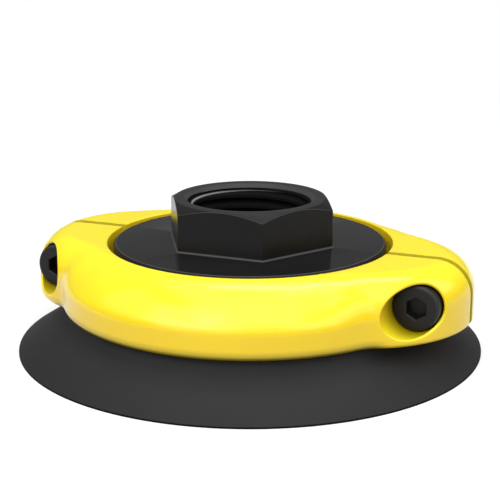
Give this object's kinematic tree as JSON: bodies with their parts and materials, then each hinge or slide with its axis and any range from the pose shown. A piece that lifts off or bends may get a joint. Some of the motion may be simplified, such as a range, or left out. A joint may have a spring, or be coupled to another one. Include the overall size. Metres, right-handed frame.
{
  "type": "flat vacuum cup",
  "caption": "Flat round rubber suction cup held by a split yellow clamp ring on a black hexagon fitting with a half-inch female pipe thread, for vacuum lifting.",
  "frame": {"origin": "centre of the sealing lip's plane, at the object's base", "axes": "+Z along the cup's axis towards the threaded port, +X from ear to ear along the clamp's split, -Y towards the screw heads"},
  "size_m": [0.077, 0.077, 0.0247],
  "materials": {
    "cup_rubber": "matt moulded",
    "black_fitting": "black anodised, satin",
    "clamp_plastic": "glossy moulded",
    "black_steel": "black oxide",
    "insert_brass": "turned"
  },
  "bodies": {
    "root": {"suction_cup": "cup_rubber", "threaded_fitting": "black_fitting", "front_clamp_half": "clamp_plastic", "rear_clamp_half": "clamp_plastic", "clamp_screws": "black_steel", "thread_inserts": "insert_brass"}
  },
  "joints": []
}
